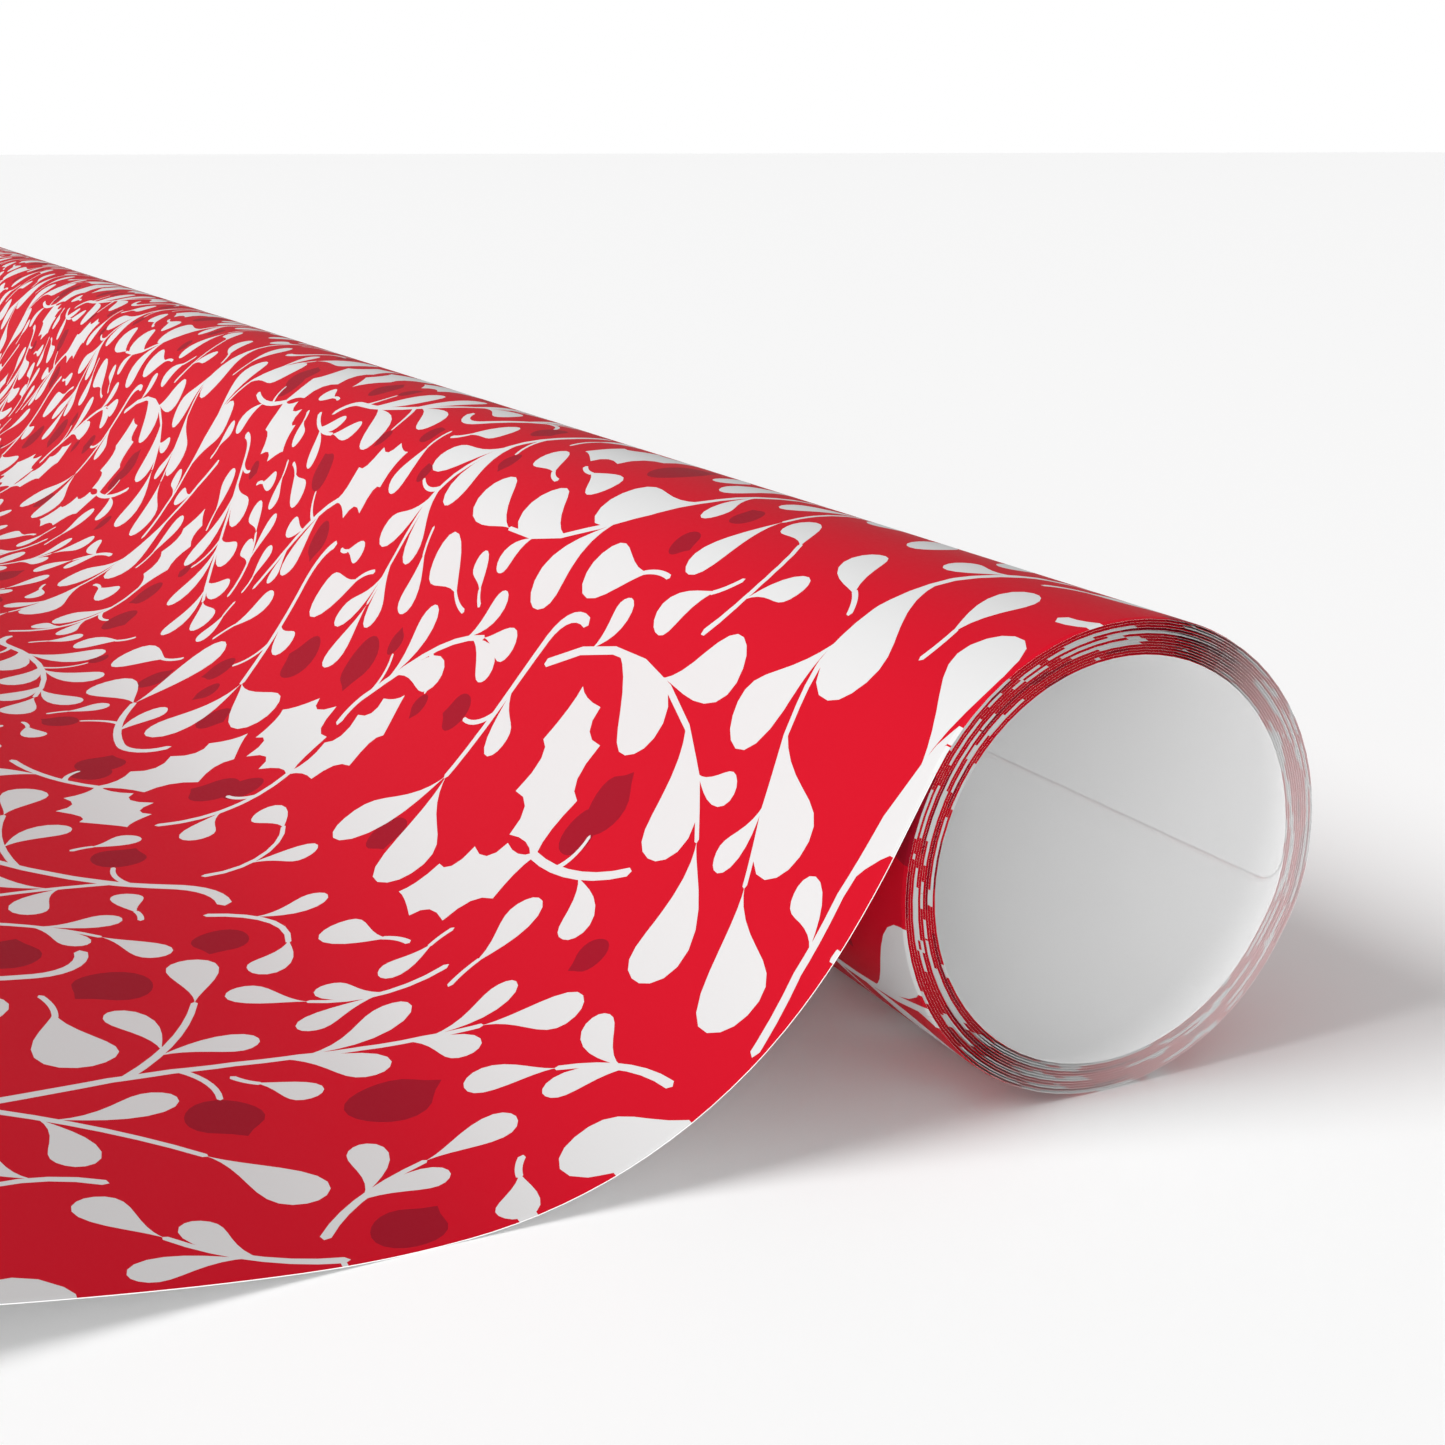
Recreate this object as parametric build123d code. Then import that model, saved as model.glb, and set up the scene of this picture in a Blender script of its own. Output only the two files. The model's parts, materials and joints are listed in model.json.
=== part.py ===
"""A coreless roll of gift wrap: one printed sheet, wound printed side out, its outer end unrolled.

The roll lies along X on the floor at Z = 0. The loose end runs off towards -Y.
The sheet is followed from its inner cut edge outwards, and each turn round the roll
and each strip of the loose end is a piece of its own.
"""
from build123d import *
from math import acos, ceil, cos, degrees, pi, radians, sin
import os

# The paper
SHEET_WIDTH = 762.0      # cut width of the sheet, which is the length of the roll
PAPER = 0.11             # thickness of the paper

# The wound part
BORE_RADIUS = 18.4       # open centre of the roll
TURN_GAP = 0.125         # air between one turn and the next
CENTRE_TURNS = 6         # turns that push out along the roll as one coil
MIDDLE_TURNS = 6         # turns that slip round inside the outer wrap
OUTER_TURNS = 1          # whole turns of the outer wrap
START_ANGLE = -15.0      # inner cut edge, from +Y towards +Z
LEAVE_ANGLE = 150.5      # line along which the sheet leaves the roll
ARC_STEP = 15.0          # a turn is made of arcs this long, and climbs on its last arc

# The loose end, in stretches that bend evenly: length in mm, bend in degrees,
# positive towards the back of the sheet
SHOULDER = [(8.0, -5.5)]
SLOPE = [(7.0, -7.5), (17.0, -23.0)]
FOOT = [(15.5, -22.0), (13.0, -8.5), (11.0, -2.5)]
RISE = (11.5, -2.0)
END_RADIUS = 107.0       # bend of the last stretch, which comes down on the sheet's outer edge
LONGEST_ARC = 5.0        # a stretch is divided into arcs no longer than this

TURN_COUNT = CENTRE_TURNS + MIDDLE_TURNS + OUTER_TURNS
TURN_PITCH = PAPER + TURN_GAP


def turn_radius(number):
    """Radius of the middle of the paper in a turn; turn 1 is the innermost."""
    return BORE_RADIUS + PAPER / 2 + (number - 1) * TURN_PITCH


FLOOR = -(turn_radius(TURN_COUNT) + PAPER / 2)   # floor under the roll, from the roll's axis


def on_section(y, z):
    """A point of the end view, as a point in space at the middle of the roll."""
    return Vector(0, y, z)


def wound_point(radius, angle):
    return on_section(radius * cos(radians(angle)), radius * sin(radians(angle)))


def arc_through(points):
    return Edge.make_three_point_arc(*points)


def wound_side(stretches, offset):
    """One side of a wound turn: arcs that each go from one radius and angle to another."""
    edges = []
    for (radius_a, angle_a), (radius_b, angle_b) in stretches:
        radius_mid = (radius_a + radius_b) / 2 + offset
        angle_mid = (angle_a + angle_b) / 2
        edges.append(arc_through([
            wound_point(radius_a + offset, angle_a),
            wound_point(radius_mid, angle_mid),
            wound_point(radius_b + offset, angle_b),
        ]))
    return edges


def band(printed_side, back_side):
    """A strip of the sheet, from the edges of its two sides in the end view."""
    start = Edge.make_line(back_side[0] @ 0, printed_side[0] @ 0)
    finish = Edge.make_line(printed_side[-1] @ 1, back_side[-1] @ 1)
    outline = Wire([start, *printed_side, finish, *back_side])
    strip = Solid.extrude(Face(outline), Vector(SHEET_WIDTH, 0, 0))
    return strip.moved(Location((-SHEET_WIDTH / 2, 0, 0)))


def wound_turn(number, finish, climbs=False):
    """A turn round the roll, from START_ANGLE to the angle finish."""
    radius = turn_radius(number)
    corners = []
    angle = START_ANGLE
    while angle < finish:
        corners.append((radius, angle))
        angle += ARC_STEP
    corners.append((radius + TURN_PITCH if climbs else radius, finish))
    stretches = list(zip(corners[:-1], corners[1:]))
    return band(wound_side(stretches, PAPER / 2), wound_side(stretches, -PAPER / 2))


class Path:
    """Follows the loose end across the end view, from where the sheet leaves the roll."""

    def __init__(self, point, heading):
        self.point = point
        self.heading = heading
        self.length = 0.0

    def side_point(self, offset):
        """A point beside the path: plus is the back of the sheet, minus the printed side."""
        across = radians(self.heading + 90)
        return self.point + on_section(offset * cos(across), offset * sin(across))

    def advance(self, length, bend):
        half = radians(bend) / 2
        chord = length if bend == 0 else length * sin(half) / half
        along = radians(self.heading) + half
        self.point = self.point + on_section(chord * cos(along), chord * sin(along))
        self.heading += bend
        self.length += length

    def stretch(self, length, bend):
        """Goes along one even bend and gives the edges of its printed side and its back."""
        sides = {-PAPER / 2: [], PAPER / 2: []}
        for part_way in range(3):
            for offset, points in sides.items():
                points.append(self.side_point(offset))
            if part_way < 2:
                self.advance(length / 2, bend / 2)
        if bend == 0:
            return [Edge.make_line(points[0], points[2]) for points in sides.values()]
        return [arc_through(points) for points in sides.values()]

    def strip(self, bends):
        pairs = []
        for length, bend in bends:
            arcs = ceil(length / LONGEST_ARC)
            for _ in range(arcs):
                pairs.append(self.stretch(length / arcs, bend / arcs))
        return band([pair[0] for pair in pairs], [pair[1] for pair in pairs])


def drop_of(bends, heading):
    """How far a run of bends comes down, from its start to its lowest point."""
    trial = Path(on_section(0, 0), heading)
    lowest = 0.0
    for length, bend in bends:
        level = (180.0 - trial.heading) / bend if bend else -1.0
        if 0 < level < 1:
            turning = Path(trial.point, trial.heading)
            turning.advance(length * level, bend * level)
            lowest = min(lowest, turning.point.Z)
        trial.advance(length, bend)
        lowest = min(lowest, trial.point.Z)
    return -lowest


# Where the sheet leaves the roll, and the straight run that brings its foot down to the floor
leave_radius = turn_radius(TURN_COUNT + 1)
leave_point = wound_point(leave_radius, LEAVE_ANGLE)
leave_heading = LEAVE_ANGLE + 90
fall = leave_point.Z - (FLOOR + PAPER / 2)
bends_drop = drop_of(SHOULDER + SLOPE + FOOT, leave_heading)
straight_run = (fall - bends_drop) / -sin(radians(leave_heading))

# A coil's last turn stops where the turn inside it starts to climb; the others join up
pieces = {}
for number in range(1, TURN_COUNT + 1):
    last_of_coil = number in (CENTRE_TURNS, CENTRE_TURNS + MIDDLE_TURNS)
    finish = START_ANGLE + 360.0 - (ARC_STEP if last_of_coil else 0.0)
    pieces[f"turn_{number:02d}"] = wound_turn(number, finish, climbs=not last_of_coil)
pieces["top_turn"] = wound_turn(TURN_COUNT + 1, LEAVE_ANGLE)

path = Path(leave_point, leave_heading)
pieces["flap_shoulder"] = path.strip([(straight_run, 0.0)] + SHOULDER)
hinges = {"slope_bend": path.side_point(-PAPER / 2)}
pieces["flap_slope"] = path.strip(SLOPE)
hinges["foot_bend"] = path.side_point(-PAPER / 2)
pieces["flap_foot"] = path.strip(FOOT)
hinges["end_bend"] = path.side_point(-PAPER / 2)

# The last strip rises, then arches over until its edge is back on the floor
trial = Path(path.point, path.heading)
trial.advance(*RISE)
climb = radians(180.0 - trial.heading)
above_floor = trial.point.Z - (FLOOR + PAPER / 2)
landing = acos(cos(climb) - above_floor / END_RADIUS)
end_length = END_RADIUS * (climb + landing)
pieces["flap_end"] = path.strip([RISE, (end_length, degrees(climb + landing))])

# The part's origin is under the middle of its box
reach_left = -path.point.Y
reach_right = leave_radius + PAPER / 2
ROLL_AXIS_Y = (reach_left - reach_right) / 2
ROLL_AXIS_Z = -FLOOR

os.makedirs("parts", exist_ok=True)
for name, piece in pieces.items():
    export_step(piece.moved(Location((0, ROLL_AXIS_Y, ROLL_AXIS_Z))), f"parts/{name}.step")

wound_length = sum(2 * pi * turn_radius(number) for number in range(1, TURN_COUNT + 1))
wound_length += leave_radius * radians(LEAVE_ANGLE - START_ANGLE)
print(f"sheet {SHEET_WIDTH:.0f} x {wound_length + path.length:.1f} mm, loose end {path.length:.1f} mm")
print(f"roll axis Y {ROLL_AXIS_Y:.3f} Z {ROLL_AXIS_Z:.3f}, outer radius {reach_right:.3f}")
print(f"straight run {straight_run:.3f}, end of the sheet at heading {path.heading:.2f}")
for name, line in hinges.items():
    print(f"{name}: Y {line.Y + ROLL_AXIS_Y:.4f} Z {line.Z + ROLL_AXIS_Z:.4f}")
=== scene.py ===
"""Looks of a coreless roll of gift wrap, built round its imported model.

The sheet is one strip of paper, followed from its inner cut edge outwards: round and round
the open centre, then off the roll as the loose end. Its print is cut into the mesh, so that
every leaf and berry has a crisp edge, and its back is plain white.
"""
import json
import math
import random

import bpy
import numpy as np
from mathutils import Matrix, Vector
from mathutils.geometry import delaunay_2d_cdt


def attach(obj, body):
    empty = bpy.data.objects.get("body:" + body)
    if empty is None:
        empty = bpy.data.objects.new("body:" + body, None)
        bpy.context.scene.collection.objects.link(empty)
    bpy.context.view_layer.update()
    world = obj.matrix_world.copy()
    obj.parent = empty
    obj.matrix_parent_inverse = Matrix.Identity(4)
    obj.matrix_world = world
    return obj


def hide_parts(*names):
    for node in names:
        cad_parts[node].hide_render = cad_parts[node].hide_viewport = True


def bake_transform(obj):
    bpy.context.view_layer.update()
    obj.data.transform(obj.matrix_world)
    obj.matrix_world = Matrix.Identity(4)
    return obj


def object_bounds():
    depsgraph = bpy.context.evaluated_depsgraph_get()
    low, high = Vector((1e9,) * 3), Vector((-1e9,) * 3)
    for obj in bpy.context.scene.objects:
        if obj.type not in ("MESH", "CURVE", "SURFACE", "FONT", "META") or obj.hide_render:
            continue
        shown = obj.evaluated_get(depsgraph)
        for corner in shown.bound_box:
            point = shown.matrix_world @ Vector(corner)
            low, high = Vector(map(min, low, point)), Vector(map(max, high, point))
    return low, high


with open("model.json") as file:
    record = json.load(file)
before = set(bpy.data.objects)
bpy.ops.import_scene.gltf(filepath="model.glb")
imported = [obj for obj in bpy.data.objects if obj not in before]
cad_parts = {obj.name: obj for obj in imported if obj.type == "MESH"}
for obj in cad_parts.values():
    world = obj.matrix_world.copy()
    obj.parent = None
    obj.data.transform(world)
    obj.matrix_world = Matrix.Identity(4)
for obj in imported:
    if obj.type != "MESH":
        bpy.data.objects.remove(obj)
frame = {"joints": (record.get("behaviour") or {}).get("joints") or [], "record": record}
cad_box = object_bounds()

bpy.ops.object.select_all(action="DESELECT")

# --- Sizes, in millimetres as the sheet is cut; the mesh is made in metres ------------------------

MM = 0.001
PAPER = 0.11             # thickness of the paper
TURN_GAP = 0.125         # air between one turn and the next
CENTRE_TURNS = 6         # turns of the coil that pushes out along the roll
MIDDLE_TURNS = 6         # turns of the coil that slips round inside the outer wrap
TURN_COUNT = 13          # whole turns, the last of them in the outer wrap
START_ANGLE = -15.0      # inner cut edge, from +Y towards +Z
LEAVE_ANGLE = 150.5      # line along which the sheet leaves the roll
CLIMB_ARC = 15.0         # a turn climbs to the next one's radius on its last stretch
CORNER_RADIUS = 2.4      # of the inner cut edge's two corners

# The loose end, in stretches that bend evenly: length, and bend in degrees towards the back
SHOULDER = [(8.0, -5.5)]
SLOPE = [(7.0, -7.5), (17.0, -23.0)]
FOOT = [(15.5, -22.0), (13.0, -8.5), (11.0, -2.5)]
RISE = (11.5, -2.0)
END_RADIUS = 107.0       # bend of the last stretch, towards the back
PAST_RISE = 12.0         # how far past the rise the foot's piece runs on

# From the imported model: the open centre, the roll's axis, the sheet's width and the bend lines
joints = {joint["name"]: joint for joint in frame["joints"]}
BORE_RADIUS = frame["record"]["mounts"][0]["dims"]["r_mm"]
SHEET_WIDTH = (cad_box[1].x - cad_box[0].x) / MM
AXIS_Y, AXIS_Z = (value / MM for value in joints["coil_turn"]["pos_m"][1:])
TURN_PITCH = PAPER + TURN_GAP


def turn_radius(number):
    """Radius of the middle of the paper in a turn; turn 1 is the innermost."""
    return BORE_RADIUS + PAPER / 2 + (number - 1) * TURN_PITCH


# --- The sheet in the end view, seen from +X: complex numbers, Y + Z i, from the roll's axis ------

class Wound:
    """A stretch round the roll's axis, which may climb by rise on its way."""

    def __init__(self, start, radius, angle, sweep, rise=0.0):
        self.start, self.radius, self.angle, self.sweep, self.rise = start, radius, angle, sweep, rise
        self.length = (radius + rise / 2) * sweep

    def at(self, along):
        share = (along - self.start) / self.length
        radius = self.radius + self.rise * share ** 2 * (3 - 2 * share)
        slope = self.rise * 6 * share * (1 - share) / self.sweep
        towards = np.exp(1j * (self.angle + self.sweep * share))
        out = (radius - 1j * slope) * towards
        return radius * towards, out / abs(out)


class Bend:
    """A stretch of the loose end that turns evenly, plus towards the back of the sheet."""

    def __init__(self, start, place, heading, length, turn):
        self.start, self.length, self.turn = start, length, turn
        self.place, self.heading = place, heading

    def at(self, along):
        done = along - self.start
        turned = self.turn * done / self.length
        chord = done * np.sinc(turned / 2 / np.pi)
        place = self.place + chord * np.exp(1j * (self.heading + turned / 2))
        return place, np.exp(1j * (self.heading + turned - np.pi / 2))


class Sheet:
    """The whole strip of paper, from its inner cut edge outwards."""

    def __init__(self):
        self.stretches, self.length = [], 0.0
        self.place, self.heading = 0j, 0.0

    def add(self, stretch):
        self.stretches.append(stretch)
        self.length = stretch.start + stretch.length
        end, out = stretch.at(self.length)
        self.place, self.heading = complex(end), float(np.angle(out * 1j))

    def wind(self, radius, angle, sweep, rise=0.0):
        self.add(Wound(self.length, radius, math.radians(angle), math.radians(sweep), rise))

    def bend(self, length, turn):
        self.add(Bend(self.length, self.place, self.heading, length, math.radians(turn)))

    def at(self, along):
        """Places in the middle of the paper, and the direction that the print faces there."""
        along = np.asarray(along, float)
        starts = np.array([stretch.start for stretch in self.stretches])
        owner = np.clip(np.searchsorted(starts, along + 1e-9) - 1, 0, None)
        place, out = np.zeros(along.shape, complex), np.zeros(along.shape, complex)
        for number in np.unique(owner):
            here = owner == number
            place[here], out[here] = self.stretches[number].at(along[here])
        return place, out


def point(along, depth=0.0):
    """A point of the sheet's middle line, in metres, depth above the middle of the paper."""
    place, out = sheet.at([along])
    section = place[0] + depth * out[0]
    return Vector((0, AXIS_Y + section.real, AXIS_Z + section.imag)) * MM


sheet = Sheet()
spans = {}               # from where to where along the sheet each piece goes
for number in range(1, TURN_COUNT + 1):
    begin, radius = sheet.length, turn_radius(number)
    sheet.wind(radius, START_ANGLE, 360 - CLIMB_ARC)
    if number in (CENTRE_TURNS, CENTRE_TURNS + MIDDLE_TURNS):
        spans[f"turn_{number:02d}"] = begin, sheet.length
        # The stretch that would climb to the next coil is left out
        sheet.length += (radius + TURN_PITCH / 2) * math.radians(CLIMB_ARC)
    else:
        sheet.wind(radius, START_ANGLE - CLIMB_ARC, CLIMB_ARC, TURN_PITCH)
        spans[f"turn_{number:02d}"] = begin, sheet.length
begin = sheet.length
sheet.wind(turn_radius(TURN_COUNT + 1), START_ANGLE, LEAVE_ANGLE - START_ANGLE)
spans["top_turn"] = begin, sheet.length

# The straight run ends where the shoulder's bend then brings the sheet to the slope's bend line
leave = sheet.length
trial = Bend(0, 0j, sheet.heading, SHOULDER[0][0], math.radians(SHOULDER[0][1]))
shoulder_end, shoulder_out = trial.at(np.array([SHOULDER[0][0]]))
bend_line = complex(*joints["slope_bend"]["pos_m"][1:]) / MM - complex(AXIS_Y, AXIS_Z)
rest = bend_line - shoulder_out[0] * PAPER / 2 - shoulder_end[0] - sheet.place
straight_run = (rest * np.exp(-1j * sheet.heading)).real
sheet.bend(straight_run, 0.0)
for length, turn in SHOULDER:
    sheet.bend(length, turn)
slope_line = sheet.length
for length, turn in SLOPE:
    sheet.bend(length, turn)
foot_line = sheet.length
for length, turn in FOOT:
    sheet.bend(length, turn)
end_line = sheet.length
sheet.bend(*RISE)
climb = math.pi - sheet.heading % (2 * math.pi)
above_floor = sheet.place.imag + AXIS_Z - PAPER / 2
landing = math.acos(math.cos(climb) - above_floor / END_RADIUS)
sheet.bend(END_RADIUS * (climb + landing), math.degrees(climb + landing))

# A piece of the loose end runs from the middle of one body to the middle of the next
mid_slope, mid_foot = (slope_line + foot_line) / 2, (foot_line + end_line) / 2
past_end = end_line + RISE[0] + PAST_RISE
spans["flap_shoulder"] = leave, mid_slope
spans["flap_slope"] = mid_slope, mid_foot
spans["flap_foot"] = mid_foot, past_end
spans["flap_end"] = past_end, sheet.length


# --- The print: motifs drawn flat, in millimetres, as outlines of complex numbers -----------------

GROUND, WHITE, BERRY, BACK = range(4)     # the finishes, in the order of a piece's materials
LEAF_POINTS, STROKE_STEPS, BERRY_POINTS = 24, 8, 22
LEAF_START, LEAF_TIP = 1.8, 0.55          # how slowly a leaf widens, and how blunt it ends


def bent(along, across, sweep):
    """Places along a line one unit long that turns by sweep, and across to its left."""
    sweep = sweep or 1e-6
    turned = np.exp(1j * sweep * along)
    return (turned - 1) / (1j * sweep) + across * 1j * turned


class Line:
    """The middle of a stroke or a leaf: a line that turns evenly."""

    def __init__(self, root, heading, length, sweep=0.0):
        self.root, self.heading, self.length, self.sweep = root, heading, length, sweep

    def place(self, along, across=0.0):
        unit = bent(along, across / self.length, self.sweep)
        return self.root + np.exp(1j * self.heading) * self.length * unit

    def heading_at(self, along):
        return self.heading + self.sweep * along

    def side_line(self, along, side, spread, length, sweep):
        """A line that leaves this one to its left, with side 1, or to its right, with side -1."""
        heading = self.heading_at(along) + side * spread
        return Line(self.place(along), heading, length, side * sweep)


def stroke(line, root_width, tip_width):
    along = np.linspace(0, 1, STROKE_STEPS)
    half = (root_width + (tip_width - root_width) * along) / 2
    cap = line.place(np.array([1 + tip_width / 2 / line.length]))
    heel = line.place(np.array([-root_width / 2 / line.length]))
    return WHITE, np.concatenate([heel, line.place(along, -half), cap, line.place(along, half)[::-1]])


def leaf(line, width):
    """A leaf that starts thin and ends broad and round."""
    turn = np.linspace(0, 2 * np.pi, LEAF_POINTS, endpoint=False)
    along = (1 - np.cos(turn)) / 2
    across = -np.sign(np.sin(turn)) * along ** LEAF_START * (1 - along) ** LEAF_TIP
    return WHITE, line.place(along, across * width / 2 / across.max())


def berry(middle, radius, heading):
    """A round berry, not quite even, with a small nub on the side that faces heading."""
    turn = np.linspace(-np.pi, np.pi, BERRY_POINTS, endpoint=False)
    nub = 0.34 * np.exp(-(turn / 0.24) ** 2)
    reach = radius * (1 + 0.04 * np.cos(3 * turn + radius) + nub)
    return BERRY, middle + np.exp(1j * (heading + turn)) * reach


def holly(root, heading, length):
    """A holly leaf: pointed corners joined by hollow curves, and a slight bow."""
    corners = [(0, 0.02), (0.24, 0.24), (0.54, 0.33), (0.80, 0.24), (1, 0)]
    side = []
    for (along_a, across_a), (along_b, across_b) in zip(corners[:-1], corners[1:]):
        control = (along_a + along_b) / 2 + 0.02, (across_a + across_b) / 2 * 0.38
        for share in (0, 0.25, 0.5, 0.75):
            mix = (1 - share) ** 2, 2 * share * (1 - share), share ** 2
            along = mix[0] * along_a + mix[1] * control[0] + mix[2] * along_b
            across = mix[0] * across_a + mix[1] * control[1] + mix[2] * across_b
            side.append(complex(along, -across))
    side = np.array([*side, 1])
    outline = np.concatenate([side, side[-2::-1].conj()])
    return WHITE, root + np.exp(1j * heading) * length * outline * (1 + 0.22j * outline.real)


def leaf_pair(line, along, length, spread=0.22, sweep=0.80, width=0.38):
    """Two leaves that leave a stem nearly along it and curve away, one a little later."""
    return [leaf(line.side_line(along + 0.03 * side, side, spread, length * (1 + 0.06 * side), sweep),
                 width * length) for side in (1, -1)]


def stalked_berry(line, along, side, stalk=6.0, radius=1.8, spread=0.45):
    stem = line.side_line(along, side, spread, stalk, 0.9)
    heading = stem.heading_at(1)
    middle = stem.place(1) + (radius + 0.3) * np.exp(1j * heading)
    return [stroke(stem, 0.8, 0.55), berry(middle, radius, heading + 0.4)]


def curled_foot(width, length, sweep):
    return stroke(Line(0j, np.pi, length, sweep), width, 1.15 * width)


def sprig(length=48.0, sweep=0.9, pairs=4, leaf_length=15.0):
    """A stem with leaves in pairs, berries between them and a leaf at its tip."""
    stem = Line(0j, 0.0, length, sweep)
    made = [stroke(stem, 1.15, 0.7), curled_foot(1.15, 0.18 * length, -1.1)]
    for number in range(pairs):
        along = 0.16 + 0.68 * number / (pairs - 1)
        made += leaf_pair(stem, along, leaf_length * (1.08 - 0.35 * along))
    tip = Line(stem.place(1), stem.heading_at(1), 0.72 * leaf_length, 0.3 * sweep)
    made.append(leaf(tip, 0.34 * leaf_length))
    return made + stalked_berry(stem, 0.04, -1) + stalked_berry(stem, 0.50, 1, 7.5, 1.6, 0.8)


def fern(length=48.0, sweep=-0.8):
    """A slender sprig with small leaves set close together."""
    stem = Line(0j, 0.0, length, sweep)
    made = [stroke(stem, 1.0, 0.6), curled_foot(1.0, 10.0, 0.9)]
    for number in range(6):
        along = 0.12 + 0.80 * number / 5
        made += leaf_pair(stem, along, 10.5 - 3.5 * along, 0.35, 0.75, 0.36)
    made.append(leaf(Line(stem.place(1), stem.heading_at(1), 6.5, 0.0), 2.8))
    return made


def bough():
    """A big branch: a stem that bends one way and back, with side stems."""
    lower = Line(0j, 0.0, 40.0, 0.70)
    upper = Line(lower.place(1), lower.heading_at(1), 40.0, -0.95)
    made = [stroke(lower, 1.4, 1.1), stroke(upper, 1.1, 0.7), curled_foot(1.4, 10.0, 1.2)]
    for line, along, side, reach, size in (
        (lower, 0.16, -1, 19, 13.0), (lower, 0.46, 1, 21, 13.5), (lower, 0.80, -1, 22, 13.0),
        (upper, 0.18, 1, 19, 12.5),
    ):
        stem = line.side_line(along, side, 0.62, reach, 0.45)
        made.append(stroke(stem, 0.95, 0.65))
        made += leaf_pair(stem, 0.32, 0.85 * size, 0.45, 0.85)
        made.append(leaf(Line(stem.place(1), stem.heading_at(1), 0.95 * size, 0.3 * side), 0.42 * size))
    made += leaf_pair(upper, 0.55, 12.0) + leaf_pair(upper, 0.84, 9.5)
    made.append(leaf(Line(upper.place(1), upper.heading_at(1), 11.0, -0.4), 4.9))
    return made + stalked_berry(lower, 0.10, 1, 7.0, 3.2) + stalked_berry(upper, 0.30, -1, 7.5, 3.4, 0.9)


def mistletoe():
    """Two long leaves at the end of a curled stem, with berries in the fork."""
    stem = Line(0j, 0.0, 20.0, 0.5)
    tip, heading = stem.place(1), stem.heading_at(1)
    made = [stroke(stem, 1.2, 1.0), curled_foot(1.2, 9.0, -1.4)]
    made.append(leaf(Line(tip, heading + 0.45, 18.0, 0.55), 8.0))
    made.append(leaf(Line(tip, heading - 0.40, 16.0, -0.60), 7.4))
    made.append(leaf(stem.side_line(0.35, 1, 0.45, 9.5, 0.9), 4.6))
    made.append(berry(tip + 9.5 * np.exp(1j * heading), 2.7, heading + 1.0))
    return made + stalked_berry(stem, 0.55, -1, 7.0, 2.6, 0.6)


def drop_twig():
    """A long thin stem that arches over, hung with large leaves."""
    stem = Line(0j, 0.0, 52.0, 1.35)
    made = [stroke(stem, 1.1, 0.6)]
    for along, side, length, width in (
        (0.30, 1, 17.0, 8.6), (0.52, -1, 15.0, 7.4), (0.70, 1, 15.5, 8.0),
    ):
        made.append(leaf(stem.side_line(along, side, 0.30, length, 0.55), width))
    made.append(leaf(Line(stem.place(1), stem.heading_at(1), 15.5, 0.5), 7.6))
    made.append(leaf(stem.side_line(0.84, -1, 0.3, 8.0, 0.8), 3.6))
    made.append(leaf(stem.side_line(0.18, -1, 0.4, 8.0, 0.9), 3.8))
    return made


def holly_pair():
    """Two holly leaves and a berry on a short stem that carries small leaves too."""
    stem = Line(0j, np.pi + 0.1, 18.0, -0.6)
    made = [holly(0j, 0.80, 21.0), holly(0j, -0.90, 18.0), stroke(stem, 1.0, 1.0)]
    made.append(leaf(stem.side_line(0.55, 1, 0.5, 9.5, 0.8), 4.4))
    made += stalked_berry(stem, 0.30, -1, 5.0, 3.4, 0.7)
    return made + [berry(6.5 * np.exp(2.4j), 2.8, 2.4)]


def holly_twig():
    """One holly leaf at the end of a twig."""
    stem = Line(0j, np.pi, 24.0, 1.0)
    made = [holly(0j, 0.0, 18.5), stroke(stem, 0.9, 1.0)]
    for along, side, length in ((0.22, 1, 12.0), (0.44, -1, 8.0), (0.62, 1, 7.0)):
        made.append(leaf(stem.side_line(along, side, 0.45, length, 0.7), 0.46 * length))
    return made + stalked_berry(stem, 0.34, -1, 6.5, 3.3, 1.0)


def little_curl():
    stem = Line(0j, 0.0, 15.0, 1.5)
    made = [stroke(stem, 0.9, 0.6)]
    made.append(leaf(stem.side_line(0.35, -1, 0.5, 8.5, 0.8), 4.0))
    made.append(leaf(Line(stem.place(0.95), stem.heading_at(0.95), 9.0, 0.9), 4.3))
    return made


def little_sprig():
    stem = Line(0j, 0.0, 14.0, -0.7)
    tip = Line(stem.place(1), stem.heading_at(1), 9.0, -0.3)
    return [stroke(stem, 0.9, 0.6), leaf(tip, 4.2)] + leaf_pair(stem, 0.45, 9.0)


def lone_leaf(length, width):
    stalk = Line(0j, 0.0, 0.4 * length, -0.5)
    blade = Line(stalk.place(0.7), stalk.heading_at(1), length, 0.5)
    return [stroke(stalk, 0.7, 0.6), leaf(blade, width)]


def loose_berry(radius):
    return [berry(0j, radius, 0.0)]


def mirrored(motif):
    return [(ink, outline[::-1].conj()) for ink, outline in motif]


# --- The repeat: motifs fitted into one tile that joins up with itself ----------------------------

TILE_ALONG, TILE_ROUND = 254, 228         # about a third of the sheet's width, an eighth of its length
CLEAR, NEAR = 1.5, 4.0                    # red kept round a motif, and how close counts as snug
TRIES, SEED = 1400, 7
SMALLEST_STEP = 0.8


def dense(outline):
    """An outline with points no further apart than the smallest step."""
    found = []
    for here, there in zip(outline, np.roll(outline, -1)):
        count = max(1, math.ceil(abs(there - here) / SMALLEST_STEP))
        found.append(here + (there - here) * np.arange(count) / count)
    return np.concatenate(found)


def disc(radius):
    reach = math.ceil(radius)
    rows, columns = np.mgrid[-reach:reach + 1, -reach:reach + 1]
    inside = rows ** 2 + columns ** 2 <= radius ** 2
    return rows[inside], columns[inside]


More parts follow.
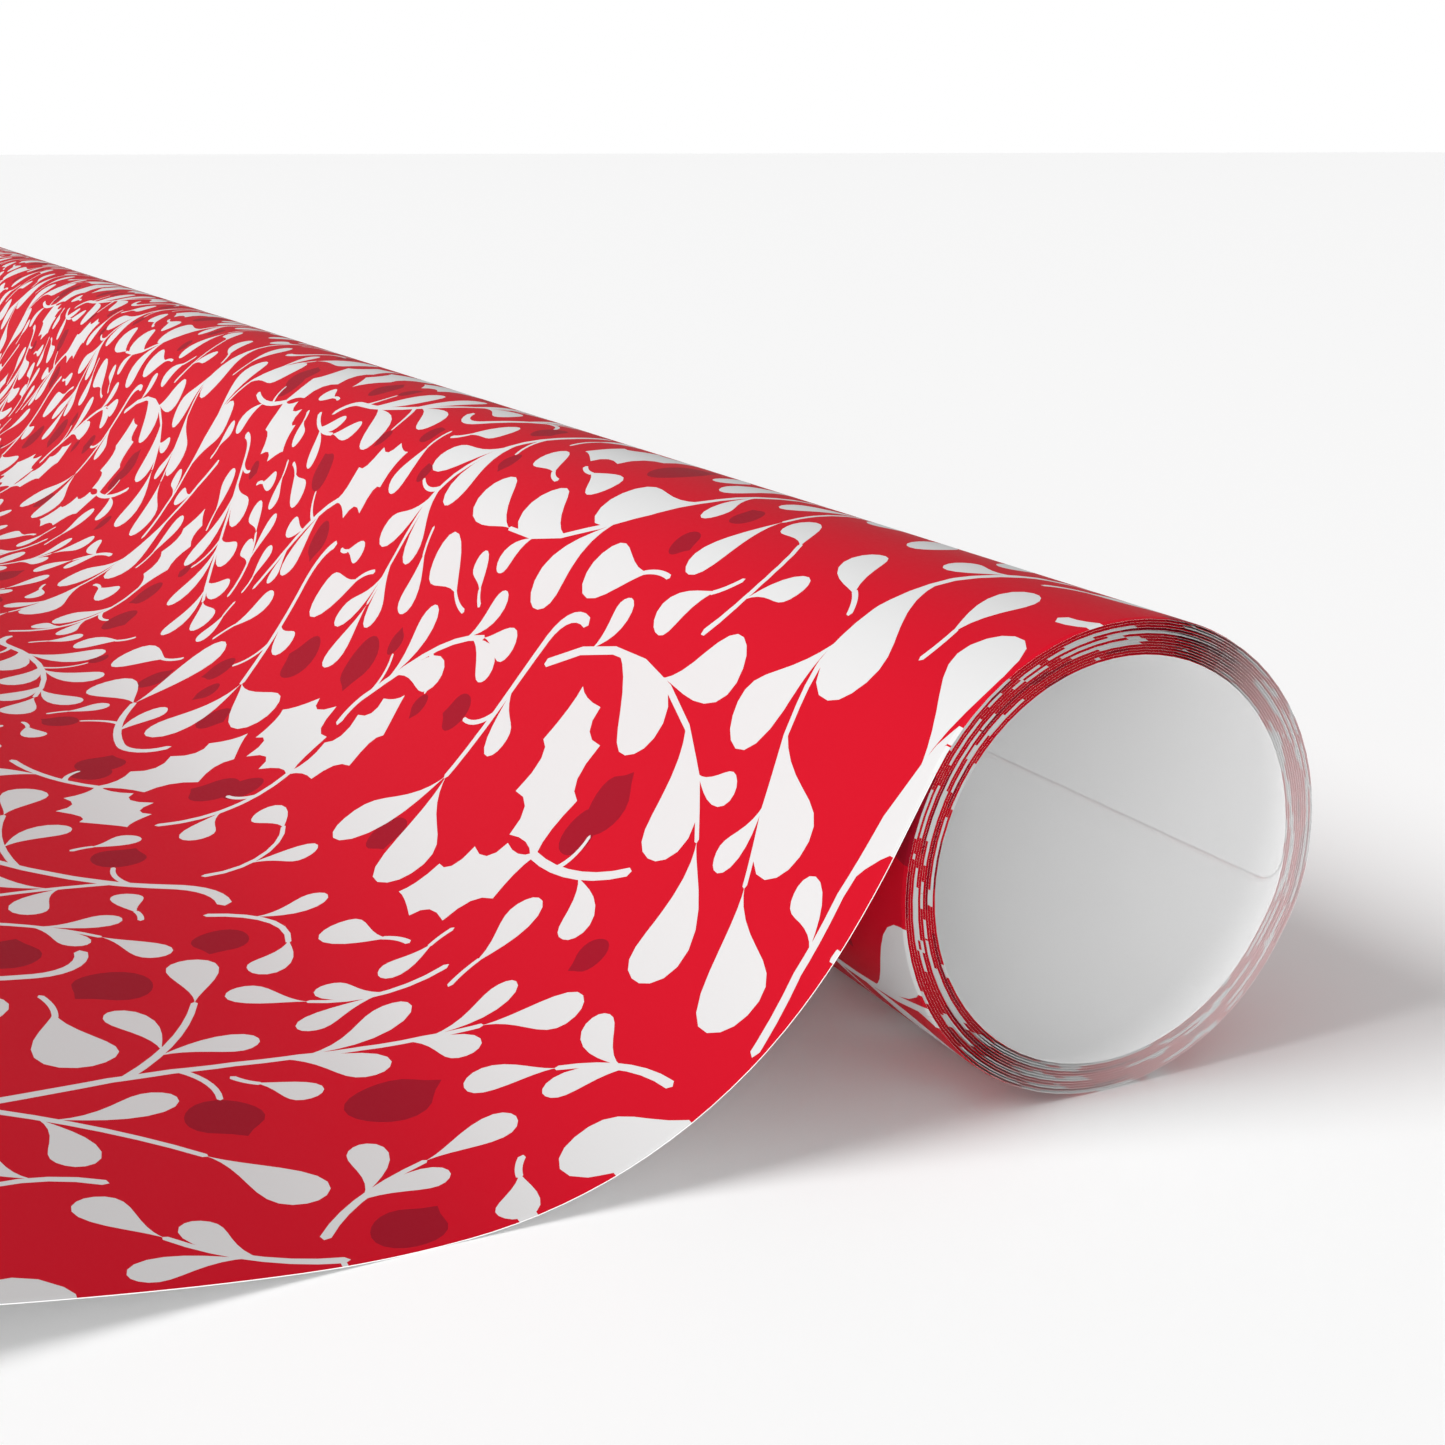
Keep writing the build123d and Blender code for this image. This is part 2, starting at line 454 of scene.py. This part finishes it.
def cells(points):
    """The one-millimetre cells of the tile that these points fall in."""
    rows = np.floor(points.imag).astype(int) % TILE_ROUND
    return rows, np.floor(points.real).astype(int) % TILE_ALONG


def snuggest(points, taken, snug, rng):
    """The turn and place at which a motif is clear of the others and nearest to them, or None."""
    best, best_score = None, -1.0
    for _ in range(TRIES):
        turn = np.exp(2j * np.pi * rng.random())
        spot = complex(rng.random() * TILE_ALONG, rng.random() * TILE_ROUND)
        rows, columns = cells(points * turn + spot)
        if not taken[rows, columns].any():
            score = snug[rows, columns].mean()
            if score > best_score:
                best, best_score = (turn, spot), score
    return best


def lay_out(rng):
    """Every outline of the repeat, in its place, the biggest motifs first."""
    taken, snug = np.zeros((2, TILE_ROUND, TILE_ALONG), bool)
    plan = [
        (bough(), 4), (drop_twig(), 5), (holly_pair(), 7), (sprig(), 5), (mistletoe(), 8),
        (sprig(38.0, -0.7, 3, 15.0), 5), (fern(), 5), (holly_twig(), 6), (sprig(27.0, 0.8, 2, 13.0), 12),
        (little_sprig(), 16), (loose_berry(3.9), 12), (little_curl(), 22), (lone_leaf(14.0, 7.6), 18),
        (loose_berry(3.0), 14), (lone_leaf(10.0, 5.0), 30), (loose_berry(2.0), 24),
        (lone_leaf(7.0, 3.6), 40),
    ]
    placed = []
    for motif, count in plan:
        for number in range(count):
            shapes = mirrored(motif) if number % 2 else motif
            points = np.concatenate([dense(outline) for _, outline in shapes])
            found = snuggest(points, taken, snug, rng)
            if found is None:
                continue
            turn, spot = found
            rows, columns = cells(points * turn + spot)
            for grid, radius in ((taken, CLEAR), (snug, NEAR)):
                down, right = disc(radius)
                around = (rows[:, None] + down) % TILE_ROUND, (columns[:, None] + right) % TILE_ALONG
                grid[around] = True
            placed += [(ink, outline * turn + spot) for ink, outline in shapes]
    return placed


# --- The mesh: the print cut into the flat sheet, then wound --------------------------------------

ROUND_STEP = 5.0         # degrees between the lines that make a turn round
BEND_STEP = 2.0          # the same along the loose end
CORNER_STEPS = 6
NEAREST = 1e-4           # lines this near a piece's own edge are left out
MERGED = 1e-5            # points this near each other become one
CUT_SLANT = 0.5          # the printed side stops this short of the back at both ends of the roll
PLAIN_WOUND, PLAIN_LOOSE = 0.05, 0.70     # share of the paper's thickness that shows plain at a cut


def rounding_lines(begin, end):
    """Distances along the sheet of the lines at which a piece's mesh may turn."""
    lines = []
    for stretch in sheet.stretches:
        if stretch.start < end and stretch.start + stretch.length > begin:
            if isinstance(stretch, Wound):
                step = ROUND_STEP / (2 if stretch.rise else 1)
                count = round(math.degrees(stretch.sweep) / step)
            else:
                count = max(1, round(stretch.length / BEND_STEP))
            lines += [stretch.start + stretch.length * share / count for share in range(count + 1)]
    return sorted({round(line, 6) for line in lines if begin + NEAREST < line < end - NEAREST})


def cut_outline(begin, end):
    """The outline of a piece, flat, with the inner cut edge's corners rounded."""
    half = SHEET_WIDTH / 2
    if begin > 0:
        corners = [complex(-half, begin), complex(half, begin)]
    else:
        turn = np.linspace(-np.pi / 2, 0, CORNER_STEPS)
        right = complex(half - CORNER_RADIUS, CORNER_RADIUS) + CORNER_RADIUS * np.exp(1j * turn)
        corners = [*(-right[::-1].conj()), *right]
    return [*corners, complex(half, end), complex(-half, end)]


class Cut:
    """Gathers outlines and lines, and divides the sheet along all of them."""

    def __init__(self, outline):
        self.points, self.edges, self.faces, self.inks = [], [], [], []
        self.face(outline, None)

    def face(self, outline, ink):
        first = len(self.points)
        self.points += [Vector((spot.real, spot.imag)) for spot in outline]
        self.faces.append(list(range(first, len(self.points))))
        self.inks.append(ink)

    def line(self, *ends):
        self.edges.append((len(self.points), len(self.points) + 1))
        self.points += [Vector((spot.real, spot.imag)) for spot in ends]

    def divided(self):
        """Points, and triangles with their ink, of all that lies inside the first outline."""
        points, _, triangles, came_from, _, owners = delaunay_2d_cdt(
            self.points, self.edges, self.faces, 1, MERGED, True)
        kept, inks = [], []
        for triangle, owner in zip(triangles, owners):
            if 0 in owner:
                found = {self.inks[face] for face in owner}
                kept.append(triangle)
                inks.append(WHITE if WHITE in found else BERRY if BERRY in found else GROUND)
        return np.array([complex(*spot) for spot in points]), np.array(kept), inks, came_from


def print_between(begin, end):
    """Every outline of the print that may show between two distances along the sheet."""
    reach = math.ceil(SHEET_WIDTH / 2 / TILE_ALONG) + 1
    for row in range(math.floor(begin / TILE_ROUND) - 1, math.ceil(end / TILE_ROUND) + 1):
        for column in range(-reach, reach):
            shift = complex(column * TILE_ALONG, row * TILE_ROUND)
            for ink, outline in repeat:
                low, high = outline.imag.min() + shift.imag, outline.imag.max() + shift.imag
                left, right = outline.real.min() + shift.real, outline.real.max() + shift.real
                if low < end and high > begin and left < SHEET_WIDTH / 2 and right > -SHEET_WIDTH / 2:
                    yield ink, outline + shift


def in_sight(shape, depth):
    """True for an outline of the print that comes within depth of an end of the roll."""
    return max(shape[1].real.max(), -shape[1].real.min()) > SHEET_WIDTH / 2 - depth


def edge_of(triangles, inks):
    """The points round the edge of a set of triangles, in order, and the ink beside each side."""
    sides = np.concatenate([triangles[:, [0, 1]], triangles[:, [1, 2]], triangles[:, [2, 0]]])
    many = triangles.max() + 1
    free = ~np.isin(sides[:, 0] * many + sides[:, 1], sides[:, 1] * many + sides[:, 0])
    after = {int(a): (int(b), int(ink)) for (a, b), ink in zip(sides[free], np.tile(inks, 3)[free])}
    here = first = min(after)
    loop, beside = [], []
    while here != first or not loop:
        loop.append(here)
        here, ink = after[here]
        beside.append(ink)
    return np.array(loop), beside


def divide(begin, end, outline, shapes):
    """Divides a piece's flat outline along its shapes and the lines at which it turns."""
    cut = Cut(outline)
    for line in rounding_lines(begin, end):
        cut.line(complex(-SHEET_WIDTH / 2, line), complex(SHEET_WIDTH / 2, line))
    for ink, shape in shapes:
        cut.face(shape, ink)
    return cut.divided()


def paper_piece(name, begin, end, plain_share, print_depth):
    """One piece of the sheet: printed side, plain back and cut edges, as a closed mesh."""
    shapes = [shape for shape in print_between(begin, end) if in_sight(shape, print_depth)]
    flat, front, inks, _ = divide(begin, end, cut_outline(begin, end), shapes)
    used, front = np.unique(front, return_inverse=True)
    flat, front = flat[used], front.reshape(-1, 3)
    loop, rim_inks = edge_of(front, inks)
    flat_back, back, _, came_from = divide(begin, end, flat[loop], [])
    behind = {old: new for new, olds in enumerate(came_from) for old in olds}
    behind = np.array([behind[number] for number in range(len(loop))]) + len(flat)
    between = np.arange(len(loop)) + len(flat) + len(flat_back)
    rims = [np.stack([above, np.roll(above, -1), np.roll(below, -1), below], axis=1)
            for above, below in ((loop, between), (between, behind))]

    flats = np.concatenate([flat, flat_back, flat[loop]])
    side = np.repeat([1, -1, 2 * plain_share - 1], [len(flat), len(flat_back), len(loop)])
    place, out = sheet.at(flats.imag)
    section = place + side * out * PAPER / 2
    across = flats.real * np.where(side == 1, 1 - 2 * CUT_SLANT / SHEET_WIDTH, 1)
    corners = np.stack([across, section.real + AXIS_Y, section.imag + AXIS_Z], axis=1) * MM
    faces = [*front[:, ::-1].tolist(), *(back + len(flat)).tolist(), *np.concatenate(rims).tolist()]
    face_inks = [*inks, *[BACK] * len(back), *rim_inks, *[BACK] * len(loop)]

    mesh = bpy.data.meshes.new(name)
    mesh.from_pydata(corners.tolist(), [], faces)
    for finish in papers:
        mesh.materials.append(finish)
    mesh.polygons.foreach_set("material_index", face_inks)
    wide = len(front) + len(back)
    mesh.polygons.foreach_set("use_smooth", np.arange(len(faces)) < wide)
    vertex = np.zeros(len(mesh.loops), int)
    mesh.loops.foreach_get("vertex_index", vertex)
    spread = mesh.uv_layers.new(name="flat")
    spread.data.foreach_set("uv", np.stack([flats.real, flats.imag], axis=1)[vertex].ravel() * MM)
    turned = np.where(side == 1, 1, -1) * out
    facing = np.stack([np.zeros(len(flats)), turned.real, turned.imag], axis=1)[vertex]
    facing[3 * wide:] = 0
    mesh.normals_split_custom_set(facing)
    mesh.update()
    piece = bpy.data.objects.new(name, mesh)
    bpy.context.scene.collection.objects.link(piece)
    return piece


# --- Finishes -------------------------------------------------------------------------------------

class Value:
    """A shader socket that takes part in sums."""

    def __init__(self, nodes, socket):
        self.nodes, self.socket = nodes, socket

    def maths(self, operation, other):
        return self.nodes.add("ShaderNodeMath", {"operation": operation}, {0: self, 1: other})

    def __add__(self, other):
        return self.maths("ADD", other)

    def __sub__(self, other):
        return self.maths("SUBTRACT", other)

    def __mul__(self, other):
        return self.maths("MULTIPLY", other)

    __radd__ = __add__


class Nodes:
    """The emptied node tree of a new material or world."""

    def __init__(self, owner):
        owner.use_nodes = True
        self.tree = owner.node_tree
        self.tree.nodes.clear()

    def add(self, kind, settings=None, inputs=None, output=0):
        """A new node with its settings, then the values or links of its sockets."""
        node = self.tree.nodes.new(kind)
        for key, value in (settings or {}).items():
            setattr(node, key, value)
        for key, value in (inputs or {}).items():
            if isinstance(value, Value):
                self.tree.links.new(value.socket, node.inputs[key])
            else:
                node.inputs[key].default_value = value
        return Value(self, node.outputs[output]) if len(node.outputs) else node


def linear(*screen):
    """A colour as it is written for a screen, 0 to 255, in the renderer's units."""
    return tuple(((value / 255 + 0.055) / 1.055) ** 2.4 for value in screen) + (1.0,)


SHEEN = 0.06             # uncoated paper hardly mirrors its surroundings
FIBRE_GLOSS = 0.10       # how much a fibre changes the roughness


def paper_finish(name, colour, roughness, fibre, sheen_patches):
    """Paper: fine fibres in the surface, and a gloss that varies a little across it."""
    material = bpy.data.materials.new(name)
    nodes = Nodes(material)
    flat = nodes.add("ShaderNodeUVMap", {"uv_map": "flat"})
    along = nodes.add("ShaderNodeMapping", inputs={"Vector": flat, "Scale": (0.35, 1.0, 1.0)})
    fibres = nodes.add("ShaderNodeTexNoise", inputs={
        "Vector": along, "Scale": 2600.0, "Detail": 3.0, "Roughness": 0.6})
    patches = nodes.add("ShaderNodeTexNoise", inputs={"Vector": flat, "Scale": 28.0, "Detail": 2.0})
    relief = nodes.add("ShaderNodeBump", inputs={
        "Strength": 0.35, "Distance": fibre, "Height": fibres})
    gloss = roughness + (fibres - 0.5) * FIBRE_GLOSS + (patches - 0.5) * sheen_patches
    shader = nodes.add("ShaderNodeBsdfPrincipled", inputs={
        "Base Color": colour, "Roughness": gloss, "Normal": relief, "Specular IOR Level": SHEEN})
    nodes.add("ShaderNodeOutputMaterial", inputs={"Surface": shader})
    return material


RED_INK, WHITE_INK, BERRY_INK = linear(193, 10, 34), linear(208, 208, 208), linear(148, 12, 34)
PLAIN_BACK = linear(251, 251, 251)
papers = [
    paper_finish("red_ground", RED_INK, 0.50, 0.000012, 0.10),
    paper_finish("white_leaves", WHITE_INK, 0.52, 0.000012, 0.10),
    paper_finish("dark_berries", BERRY_INK, 0.50, 0.000012, 0.10),
    paper_finish("plain_back", PLAIN_BACK, 0.62, 0.000020, 0.08),
]

# --- Camera, floor and light ----------------------------------------------------------------------

CAMERA_PLACE = Vector((0.51644, -0.04071, 0.08085))
CAMERA_TOWARDS = Vector((-0.8652, 0.4226, -0.2699))
SENSOR, LENS = 36.0, 51.27
FLOOR_SIZE = 40.0

camera = bpy.data.objects.new("camera", bpy.data.cameras.new("camera"))
camera.data.sensor_width, camera.data.lens = SENSOR, LENS
camera.data.clip_start, camera.data.clip_end = 0.005, 60.0
camera.location = CAMERA_PLACE
camera.rotation_euler = CAMERA_TOWARDS.to_track_quat("-Z", "Y").to_euler()
bpy.context.scene.collection.objects.link(camera)
bpy.context.scene.camera = camera

bpy.ops.mesh.primitive_plane_add(size=FLOOR_SIZE)
floor = bpy.context.object
floor.name = "floor"
floor.data.materials.append(bpy.data.materials.new("studio_floor"))
floor_nodes = Nodes(floor.active_material)
floor_shader = floor_nodes.add("ShaderNodeBsdfPrincipled", inputs={
    "Base Color": linear(254, 254, 254), "Roughness": 0.85, "Specular IOR Level": 0.2})
floor_nodes.add("ShaderNodeOutputMaterial", inputs={"Surface": floor_shader})
floor.select_set(False)

# The studio's walls light the paper evenly, and look pure white
WALL_LIGHT, WALL_SHADE = 0.38, 1.0
world = bpy.data.worlds.new("studio")
walls = Nodes(world)
lighting, seen = (
    walls.add("ShaderNodeBackground", inputs={"Color": (1, 1, 1, 1), "Strength": strength})
    for strength in (WALL_LIGHT, WALL_SHADE)
)
looked_at = walls.add("ShaderNodeLightPath", output="Is Camera Ray")
mixed = walls.add("ShaderNodeMixShader", inputs={0: looked_at, 1: lighting, 2: seen})
walls.add("ShaderNodeOutputWorld", inputs={"Surface": mixed})
bpy.context.scene.world = world
bpy.context.scene.view_settings.view_transform = "Standard"

LAMP_SPREAD = math.radians(30)


def far_lamp(name, strength, comes_from):
    """A broad, soft lamp far away."""
    lamp = bpy.data.objects.new(name, bpy.data.lights.new(name, "SUN"))
    lamp.data.energy, lamp.data.angle = strength, LAMP_SPREAD
    lamp.rotation_euler = Vector(comes_from).to_track_quat("Z", "Y").to_euler()
    bpy.context.scene.collection.objects.link(lamp)


far_lamp("side_lamp", 2.35, (-0.12, -0.76, 0.64))
far_lamp("end_lamp", 2.2, (1.0, -0.38, 0.15))

# --- The pieces -----------------------------------------------------------------------------------

repeat = lay_out(random.Random(SEED))
bodies = frame["record"]["behaviour"]["bodies"]
body_of = {node: body for body, nodes in bodies.items() for node in nodes}
blends = {
    "flap_shoulder": ("outer_wrap", "slope"),
    "flap_slope": ("slope", "foot"),
    "flap_foot": ("foot", "sheet_end"),
}
names = list(spans)
# How far in from the ends of the roll the print can be seen: anywhere on the outside, on the coil
# that slides as far as it comes out, and on the other turns only between one turn and the next
BETWEEN_TURNS = 20
print_depths = dict.fromkeys(names, BETWEEN_TURNS)
print_depths.update(dict.fromkeys(names[names.index("turn_13"):], SHEET_WIDTH / 2))
slid_out = joints["centre_slide"]["range_m"][1] / MM + BETWEEN_TURNS
print_depths.update(dict.fromkeys(("turn_05", "turn_06"), slid_out))
for name, (begin, end) in spans.items():
    loose = name.startswith("flap")
    piece = paper_piece(name + "_paper", begin, end, PLAIN_LOOSE if loose else PLAIN_WOUND,
                        print_depths[name])
    if name in blends:
        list(blends[name])
        point(begin)
        point(end)
        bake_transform(piece)
    else:
        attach(piece, body_of[name])
    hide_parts(name)
    under = "floor" if loose else names[names.index(name) + 1]
    (end - begin) * MM
